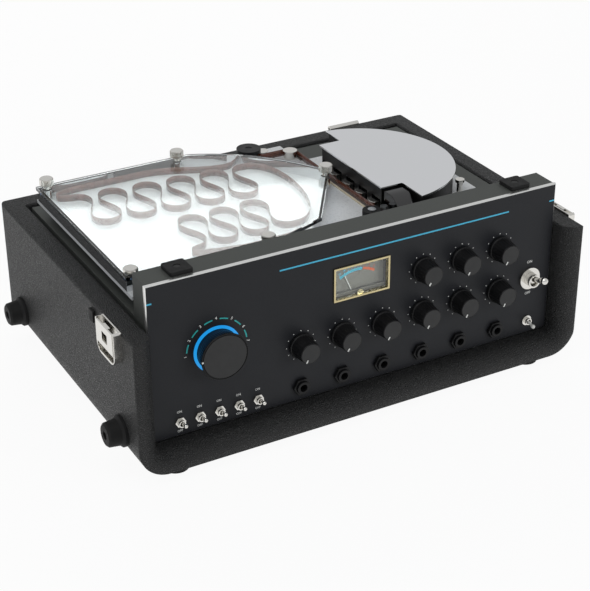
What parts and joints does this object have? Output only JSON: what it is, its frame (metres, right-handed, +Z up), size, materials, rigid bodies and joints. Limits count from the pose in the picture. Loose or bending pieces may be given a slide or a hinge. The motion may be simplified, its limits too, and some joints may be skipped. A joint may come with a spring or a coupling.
{
  "type": "tape echo unit",
  "caption": "Tabletop tape echo unit: covered wooden case, black control panel with knobs, switches, jacks and meter, and a tape loop in a clear-topped chamber beside a D-shaped head cover.",
  "frame": {"origin": "on the table under the middle of the cabinet", "axes": "+Z up, the control panel faces -Y, +X to the right as seen from the front"},
  "size_m": [0.447, 0.2997, 0.1691],
  "materials": {
    "covered_wood": "plywood under black grained vinyl covering",
    "rubber": "moulded black rubber",
    "handle_rubber": "moulded strap handle with plated end caps",
    "chrome": "nickel plated",
    "plated_steel": "zinc plated",
    "anodised_panel": "satin black, bright edge",
    "grey_steel": "dark grey powder coat",
    "black_steel": "matt black",
    "white_deck": "white enamel",
    "polished_aluminium": "polished",
    "clear_acrylic": "clear",
    "black_plastic": "moulded",
    "knob_plastic": "satin moulded",
    "gloss_plastic_black": "gloss moulded",
    "white_plastic": "moulded sleeve",
    "lit_ring": "lit from behind",
    "gold_trim": "satin",
    "meter_grey": "matt",
    "needle_white": "painted",
    "brown_tape": "oxide coated film",
    "bronze": "sintered bronze",
    "board_and_transformer": "circuit board with a mains transformer"
  },
  "bodies": {
    "case": {"cabinet": "covered_wood", "bottom_feet": "rubber", "side_feet": "rubber", "lid_hardware": "chrome", "carry_handle": "handle_rubber", "mains_inlet": "black_plastic", "front_panel": "anodised_panel", "chassis": "grey_steel", "chassis_base": "grey_steel", "lid_pads": "rubber", "mode_light_ring": "lit_ring", "potentiometers": "plated_steel", "toggle_switches": "plated_steel", "jack_sockets": "black_plastic", "meter_bezel": "gold_trim", "meter_body": "meter_grey", "meter_window": "clear_acrylic", "transport_deck": "white_deck", "deck_standoffs": "plated_steel", "chamber_frame": "polished_aluminium", "chamber_cover": "clear_acrylic", "cover_screws": "chrome", "tape_loop": "brown_tape", "head_housing": "black_steel", "head_cover": "polished_aluminium", "tape_heads": "chrome", "drive_cover": "gloss_plastic_black", "capstan_bearings": "bronze", "drive_motor": "grey_steel", "drive_belt": "rubber", "solenoid": "grey_steel", "tape_guides": "chrome", "circuit_board": "board_and_transformer", "reverb_tank": "grey_steel"},
    "input_volume_knob": {"input_volume_knob": "knob_plastic"},
    "chorus_rate_knob": {"chorus_rate_knob": "knob_plastic"},
    "chorus_depth_knob": {"chorus_depth_knob": "knob_plastic"},
    "reverb_volume_knob": {"reverb_volume_knob": "knob_plastic"},
    "tape_speed_knob": {"tape_speed_knob": "knob_plastic"},
    "echo_volume_knob": {"echo_volume_knob": "knob_plastic"},
    "bass_knob": {"bass_knob": "knob_plastic"},
    "treble_knob": {"treble_knob": "knob_plastic"},
    "feedback_knob": {"feedback_knob": "knob_plastic"},
    "mode_knob": {"mode_knob": "knob_plastic"},
    "direct_switch_lever": {"direct_switch_lever": "chrome"},
    "motor_switch_lever": {"motor_switch_lever": "chrome"},
    "overdub_switch_lever": {"overdub_switch_lever": "chrome"},
    "echo_switch_lever": {"echo_switch_lever": "chrome"},
    "chorus_switch_lever": {"chorus_switch_lever": "chrome"},
    "power_switch_lever": {"power_switch_lever": "chrome"},
    "level_switch_lever": {"level_switch_lever": "white_plastic"},
    "left_latch_lever": {"left_latch_lever": "chrome"},
    "right_latch_lever": {"right_latch_lever": "chrome"},
    "meter_needle": {"meter_needle": "needle_white"},
    "capstan": {"capstan": "plated_steel"},
    "motor_pulley": {"motor_pulley": "bronze"},
    "pinch_arm": {"pinch_arm": "plated_steel"},
    "pinch_roller": {"pinch_roller": "rubber"},
    "solenoid_plunger": {"solenoid_plunger": "plated_steel"},
    "exit_idler": {"exit_idler": "black_plastic"}
  },
  "joints": [
    {"name": "input_volume_turn", "type": "hinge", "parent": "case", "child": "input_volume_knob", "pos_m": [-0.0566, -0.1258, 0.0793], "axis": [0, 1, 0], "range_deg": [0, 300]},
    {"name": "chorus_rate_turn", "type": "hinge", "parent": "case", "child": "chorus_rate_knob", "pos_m": [-0.01868, -0.1258, 0.0793], "axis": [0, 1, 0], "range_deg": [0, 300]},
    {"name": "chorus_depth_turn", "type": "hinge", "parent": "case", "child": "chorus_depth_knob", "pos_m": [0.01924, -0.1258, 0.0793], "axis": [0, 1, 0], "range_deg": [0, 300]},
    {"name": "reverb_volume_turn", "type": "hinge", "parent": "case", "child": "reverb_volume_knob", "pos_m": [0.05716, -0.1258, 0.0793], "axis": [0, 1, 0], "range_deg": [0, 300]},
    {"name": "tape_speed_turn", "type": "hinge", "parent": "case", "child": "tape_speed_knob", "pos_m": [0.09508, -0.1258, 0.0793], "axis": [0, 1, 0], "range_deg": [0, 300]},
    {"name": "echo_volume_turn", "type": "hinge", "parent": "case", "child": "echo_volume_knob", "pos_m": [0.133, -0.1258, 0.0793], "axis": [0, 1, 0], "range_deg": [0, 300]},
    {"name": "bass_turn", "type": "hinge", "parent": "case", "child": "bass_knob", "pos_m": [0.05716, -0.1258, 0.1188], "axis": [0, 1, 0], "range_deg": [0, 300]},
    {"name": "treble_turn", "type": "hinge", "parent": "case", "child": "treble_knob", "pos_m": [0.09508, -0.1258, 0.1188], "axis": [0, 1, 0], "range_deg": [0, 300]},
    {"name": "feedback_turn", "type": "hinge", "parent": "case", "child": "feedback_knob", "pos_m": [0.133, -0.1258, 0.1188], "axis": [0, 1, 0], "range_deg": [0, 300]},
    {"name": "mode_turn", "type": "hinge", "parent": "case", "child": "mode_knob", "pos_m": [-0.1305, -0.1258, 0.097], "axis": [0, 1, 0], "range_deg": [0, 180]},
    {"name": "direct_switch_tilt", "type": "hinge", "parent": "case", "child": "direct_switch_lever", "pos_m": [-0.1645, -0.128, 0.0412], "axis": [1, 0, 0], "range_deg": [0, 22]},
    {"name": "motor_switch_tilt", "type": "hinge", "parent": "case", "child": "motor_switch_lever", "pos_m": [-0.1474, -0.128, 0.0412], "axis": [1, 0, 0], "range_deg": [0, 22]},
    {"name": "overdub_switch_tilt", "type": "hinge", "parent": "case", "child": "overdub_switch_lever", "pos_m": [-0.1303, -0.128, 0.0412], "axis": [1, 0, 0], "range_deg": [0, 22]},
    {"name": "echo_switch_tilt", "type": "hinge", "parent": "case", "child": "echo_switch_lever", "pos_m": [-0.1132, -0.128, 0.0412], "axis": [1, 0, 0], "range_deg": [0, 22]},
    {"name": "chorus_switch_tilt", "type": "hinge", "parent": "case", "child": "chorus_switch_lever", "pos_m": [-0.0961, -0.128, 0.0412], "axis": [1, 0, 0], "range_deg": [0, 22]},
    {"name": "power_switch_tilt", "type": "hinge", "parent": "case", "child": "power_switch_lever", "pos_m": [0.166, -0.1298, 0.0823], "axis": [1, 0, 0], "range_deg": [0, 40]},
    {"name": "level_switch_tilt", "type": "hinge", "parent": "case", "child": "level_switch_lever", "pos_m": [0.166, -0.128, 0.0412], "axis": [1, 0, 0], "range_deg": [-22, 0]},
    {"name": "left_latch_lift", "type": "hinge", "parent": "case", "child": "left_latch_lever", "pos_m": [-0.211, -0.1048, 0.1105], "axis": [0, -1, 0], "range_deg": [0, 110]},
    {"name": "right_latch_lift", "type": "hinge", "parent": "case", "child": "right_latch_lever", "pos_m": [0.211, -0.1048, 0.1105], "axis": [0, 1, 0], "range_deg": [0, 110]},
    {"name": "meter_needle_swing", "type": "hinge", "parent": "case", "child": "meter_needle", "pos_m": [-0.00112, -0.1196, 0.1], "axis": [0, 1, 0], "range_deg": [-7, 55]},
    {"name": "capstan_spin", "type": "hinge", "parent": "case", "child": "capstan", "pos_m": [0.0543, -0.0688, 0.1325], "axis": [0, 0, 1], "continuous": true},
    {"name": "motor_pulley_spin", "type": "hinge", "parent": "case", "child": "motor_pulley", "pos_m": [0.112, -0.0338, 0.1325], "axis": [0, 0, 1], "continuous": true},
    {"name": "exit_idler_spin", "type": "hinge", "parent": "case", "child": "exit_idler", "pos_m": [0.011, 0.0922, 0.1465], "axis": [0, 0, 1], "continuous": true},
    {"name": "pinch_arm_swing", "type": "hinge", "parent": "case", "child": "pinch_arm", "pos_m": [0.04, -0.0898, 0.137], "axis": [0, 0, 1], "range_deg": [0, 10]},
    {"name": "pinch_roller_spin", "type": "hinge", "parent": "pinch_arm", "child": "pinch_roller", "pos_m": [0.0427, -0.0688, 0.1465], "axis": [0, 0, 1], "continuous": true},
    {"name": "solenoid_plunger_slide", "type": "slide", "parent": "case", "child": "solenoid_plunger", "axis": [-1, 0, 0], "range_m": [0, 0.0018]}
  ],
  "couplings": [
    {"joint": "motor_pulley_spin", "follows": "capstan_spin", "ratio": 4.5},
    {"joint": "pinch_roller_spin", "follows": "capstan_spin", "ratio": -0.375},
    {"joint": "exit_idler_spin", "follows": "capstan_spin", "ratio": -0.42857},
    {"joint": "solenoid_plunger_slide", "follows": "pinch_arm_swing", "m_per_rad": 0.01008}
  ]
}
